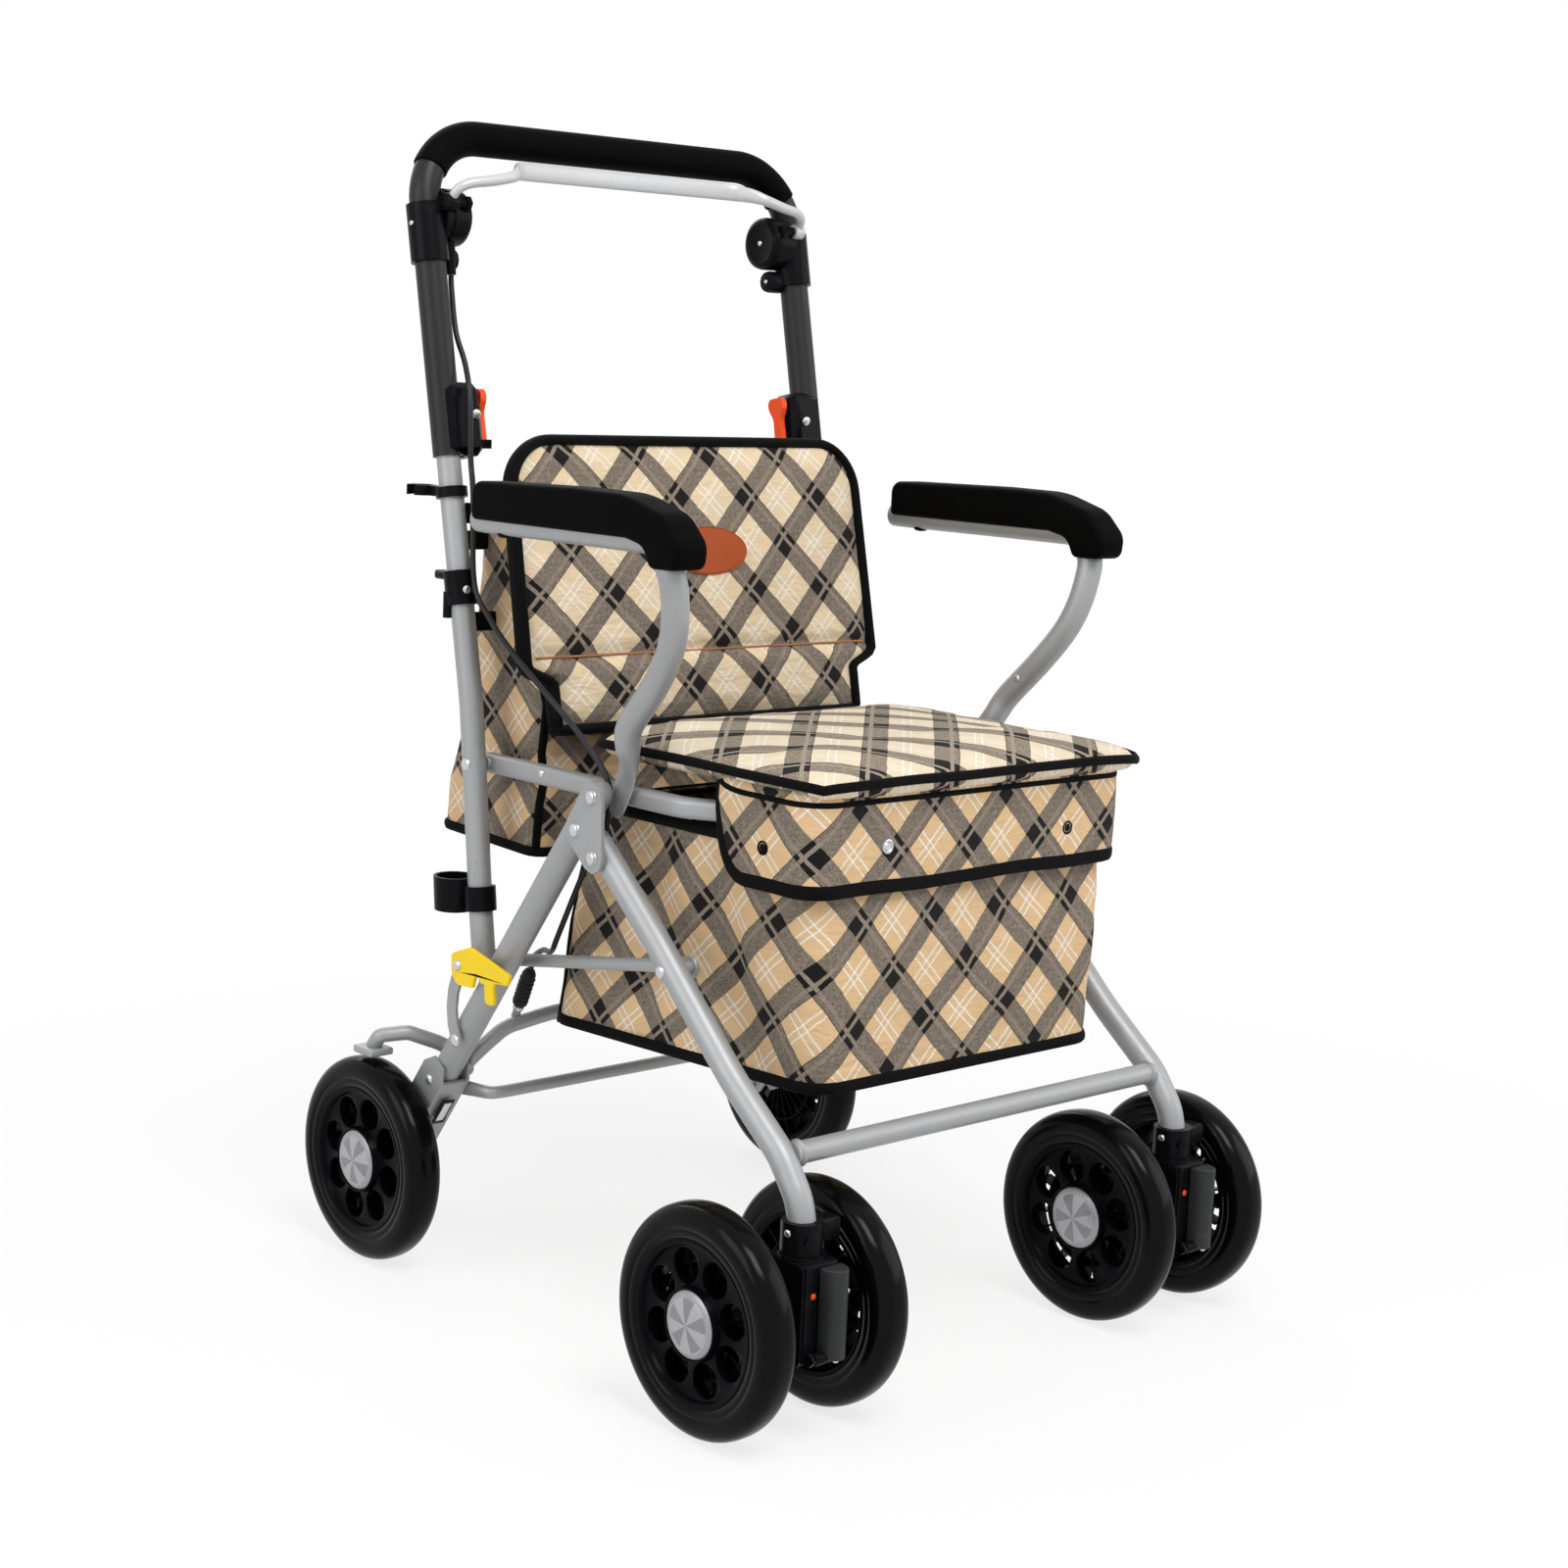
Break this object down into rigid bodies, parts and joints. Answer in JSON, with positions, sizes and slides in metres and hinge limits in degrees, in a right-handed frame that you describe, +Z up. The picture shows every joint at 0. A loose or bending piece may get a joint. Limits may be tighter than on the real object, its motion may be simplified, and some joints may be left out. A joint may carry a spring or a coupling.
{
  "type": "shopping rollator",
  "caption": "Folding shopping rollator: wheeled walking aid with a padded seat over a cloth bag, armrests, a height-adjustable handle and a squeeze brake.",
  "frame": {"origin": "on the floor under the middle of the whole object", "axes": "+Z up, the object travels towards -Y, the user stands at +Y, and the object's right side is -X"},
  "size_m": [0.5356, 0.6024, 0.9031],
  "materials": {
    "silver_frame": "fine metallic silver paint, satin",
    "black_tube": "black paint, satin",
    "black_plastic": "moulded, lightly grained",
    "wheel_plastic": "moulded, satin",
    "tyre": "smooth rubber",
    "black_foam": "soft foam",
    "boot_rubber": "ribbed rubber",
    "cable_jacket": "smooth sleeve",
    "white_bail": "silver-white paint, gloss",
    "orange_lever": "moulded",
    "yellow_latch": "moulded",
    "plaid_cloth": "quilted plaid cloth with black binding"
  },
  "bodies": {
    "rear_frame": {"rear_leg_right": "silver_frame", "rear_leg_left": "silver_frame", "armrest_tube_right": "silver_frame", "armrest_tube_left": "silver_frame", "armrest_pad_right": "black_foam", "armrest_pad_left": "black_foam", "apex_gusset_right": "silver_frame", "apex_gusset_left": "silver_frame", "wheel_bracket_right": "silver_frame", "wheel_bracket_left": "silver_frame", "rear_cross_bar": "silver_frame"},
    "front_frame": {"front_frame": "silver_frame", "caster_collar_right": "black_plastic", "caster_collar_left": "black_plastic"},
    "seat_frame": {"seat_frame": "silver_frame", "shopping_bag": "plaid_cloth"},
    "seat_lid": {"seat_cushion": "plaid_cloth", "bag_flap": "plaid_cloth"},
    "fold_link": {"fold_link_right": "silver_frame", "fold_link_left": "silver_frame"},
    "fold_brace": {"fold_brace_right": "silver_frame", "fold_brace_left": "silver_frame"},
    "uprights": {"upright_right": "silver_frame", "upright_left": "silver_frame", "backrest": "plaid_cloth", "rear_bag": "plaid_cloth", "cane_clip_upper": "black_plastic", "cane_clip_lower": "black_plastic", "cup_holder": "black_plastic", "brake_cable": "cable_jacket"},
    "handle": {"handle_tube": "black_tube", "foam_grip": "black_foam", "brake_housing_right": "black_plastic", "brake_housing_left": "black_plastic", "handle_collar_right": "black_plastic", "handle_collar_left": "black_plastic"},
    "brake_bail": {"brake_bail": "white_bail"},
    "brake_bar": {"brake_bar": "silver_frame", "brake_boot": "boot_rubber"},
    "rear_wheel_right": {"rear_rim_right": "wheel_plastic", "rear_tyre_right": "tyre"},
    "caster_right": {"caster_housing_right": "black_plastic"},
    "caster_lock_right": {"lock_lever_right": "black_plastic"},
    "front_wheel_right_outer": {"front_rim_right_outer": "wheel_plastic", "front_tyre_right_outer": "tyre"},
    "front_wheel_right_inner": {"front_rim_right_inner": "wheel_plastic", "front_tyre_right_inner": "tyre"},
    "latch_right": {"latch_right": "yellow_latch"},
    "clamp_lever_right": {"clamp_lever_right": "orange_lever"},
    "rear_wheel_left": {"rear_rim_left": "wheel_plastic", "rear_tyre_left": "tyre"},
    "caster_left": {"caster_housing_left": "black_plastic"},
    "caster_lock_left": {"lock_lever_left": "black_plastic"},
    "front_wheel_left_outer": {"front_rim_left_outer": "wheel_plastic", "front_tyre_left_outer": "tyre"},
    "front_wheel_left_inner": {"front_rim_left_inner": "wheel_plastic", "front_tyre_left_inner": "tyre"},
    "latch_left": {"latch_left": "yellow_latch"},
    "clamp_lever_left": {"clamp_lever_left": "orange_lever"}
  },
  "joints": [
    {"name": "fold", "type": "hinge", "parent": "rear_frame", "child": "front_frame", "pos_m": [0, -0.0312, 0.3673], "axis": [-1, 0, 0], "range_deg": [-41.48, 0], "deforming": ["brake_cable"]},
    {"name": "seat_fold", "type": "hinge", "parent": "rear_frame", "child": "seat_frame", "pos_m": [0, -0.0287, 0.412], "axis": [1, 0, 0], "range_deg": [-15, 0], "deforming": ["brake_cable"]},
    {"name": "upright_fold", "type": "hinge", "parent": "seat_frame", "child": "uprights", "pos_m": [0, 0.1423, 0.411], "axis": [1, 0, 0], "range_deg": [0, 41.56], "deforming": ["brake_cable"]},
    {"name": "link_fold", "type": "hinge", "parent": "rear_frame", "child": "fold_link", "pos_m": [0, 0.1303, 0.196], "axis": [1, 0, 0], "range_deg": [-72.81, 0], "deforming": ["brake_cable"]},
    {"name": "brace_fold", "type": "hinge", "parent": "front_frame", "child": "fold_brace", "pos_m": [0, -0.1068, 0.2976], "axis": [1, 0, 0], "range_deg": [-42.5, 0], "deforming": ["brake_cable"]},
    {"name": "seat_lid_hinge", "type": "hinge", "parent": "seat_frame", "child": "seat_lid", "pos_m": [0, 0.0433, 0.4215], "axis": [-1, 0, 0], "range_deg": [0, 60]},
    {"name": "handle_height", "type": "slide", "parent": "uprights", "child": "handle", "axis": [0, 0.1994, 0.9799], "range_m": [-0.02, 0.07], "deforming": ["brake_cable"]},
    {"name": "brake_squeeze", "type": "hinge", "parent": "handle", "child": "brake_bail", "pos_m": [0, 0.205, 0.838], "axis": [1, 0, 0], "range_deg": [-12, 0], "stiffness_Nm_per_rad": 1, "springref_deg": 6.88, "deforming": ["brake_cable"]},
    {"name": "parking_bar", "type": "hinge", "parent": "rear_frame", "child": "brake_bar", "pos_m": [0, 0.1668, 0.161], "axis": [1, 0, 0], "range_deg": [-3, 0], "deforming": ["brake_cable"]},
    {"name": "rear_wheel_right", "type": "hinge", "parent": "rear_frame", "child": "rear_wheel_right", "pos_m": [-0.2276, 0.2187, 0.0825], "axis": [1, 0, 0], "continuous": true},
    {"name": "caster_swivel_right", "type": "hinge", "parent": "front_frame", "child": "caster_right", "pos_m": [-0.197, -0.255, 0.13], "axis": [0, 0, 1], "continuous": true},
    {"name": "caster_lock_right", "type": "hinge", "parent": "caster_right", "child": "caster_lock_right", "pos_m": [-0.197, -0.2815, 0.064], "axis": [1, 0, 0], "range_deg": [0, 22]},
    {"name": "front_wheel_right_outer", "type": "hinge", "parent": "caster_right", "child": "front_wheel_right_outer", "pos_m": [-0.2495, -0.2187, 0.0825], "axis": [1, 0, 0], "continuous": true},
    {"name": "front_wheel_right_inner", "type": "hinge", "parent": "caster_right", "child": "front_wheel_right_inner", "pos_m": [-0.1445, -0.2187, 0.0825], "axis": [1, 0, 0], "continuous": true},
    {"name": "latch_right", "type": "hinge", "parent": "fold_link", "child": "latch_right", "pos_m": [-0.2125, 0.123, 0.258], "axis": [1, 0, 0], "range_deg": [-25, 0]},
    {"name": "clamp_lever_right", "type": "hinge", "parent": "handle", "child": "clamp_lever_right", "pos_m": [-0.1588, 0.18829, 0.655], "axis": [0, 1, 0], "range_deg": [0, 75]},
    {"name": "rear_wheel_left", "type": "hinge", "parent": "rear_frame", "child": "rear_wheel_left", "pos_m": [0.2276, 0.2187, 0.0825], "axis": [1, 0, 0], "continuous": true},
    {"name": "caster_swivel_left", "type": "hinge", "parent": "front_frame", "child": "caster_left", "pos_m": [0.197, -0.255, 0.13], "axis": [0, 0, 1], "continuous": true},
    {"name": "caster_lock_left", "type": "hinge", "parent": "caster_left", "child": "caster_lock_left", "pos_m": [0.197, -0.2815, 0.064], "axis": [1, 0, 0], "range_deg": [0, 22]},
    {"name": "front_wheel_left_outer", "type": "hinge", "parent": "caster_left", "child": "front_wheel_left_outer", "pos_m": [0.2495, -0.2187, 0.0825], "axis": [1, 0, 0], "continuous": true},
    {"name": "front_wheel_left_inner", "type": "hinge", "parent": "caster_left", "child": "front_wheel_left_inner", "pos_m": [0.1445, -0.2187, 0.0825], "axis": [1, 0, 0], "continuous": true},
    {"name": "latch_left", "type": "hinge", "parent": "fold_link", "child": "latch_left", "pos_m": [0.2125, 0.123, 0.258], "axis": [1, 0, 0], "range_deg": [-25, 0]},
    {"name": "clamp_lever_left", "type": "hinge", "parent": "handle", "child": "clamp_lever_left", "pos_m": [0.1588, 0.18829, 0.655], "axis": [0, -1, 0], "range_deg": [0, 75]}
  ],
  "couplings": [
    {"joint": "seat_fold", "follows": "fold", "ratio": 0.36166},
    {"joint": "upright_fold", "follows": "fold", "ratio": -1.0021},
    {"joint": "link_fold", "follows": "fold", "ratio": 1.7555},
    {"joint": "brace_fold", "follows": "fold", "ratio": 1.0248},
    {"joint": "parking_bar", "follows": "brake_squeeze", "ratio": 0.25}
  ]
}
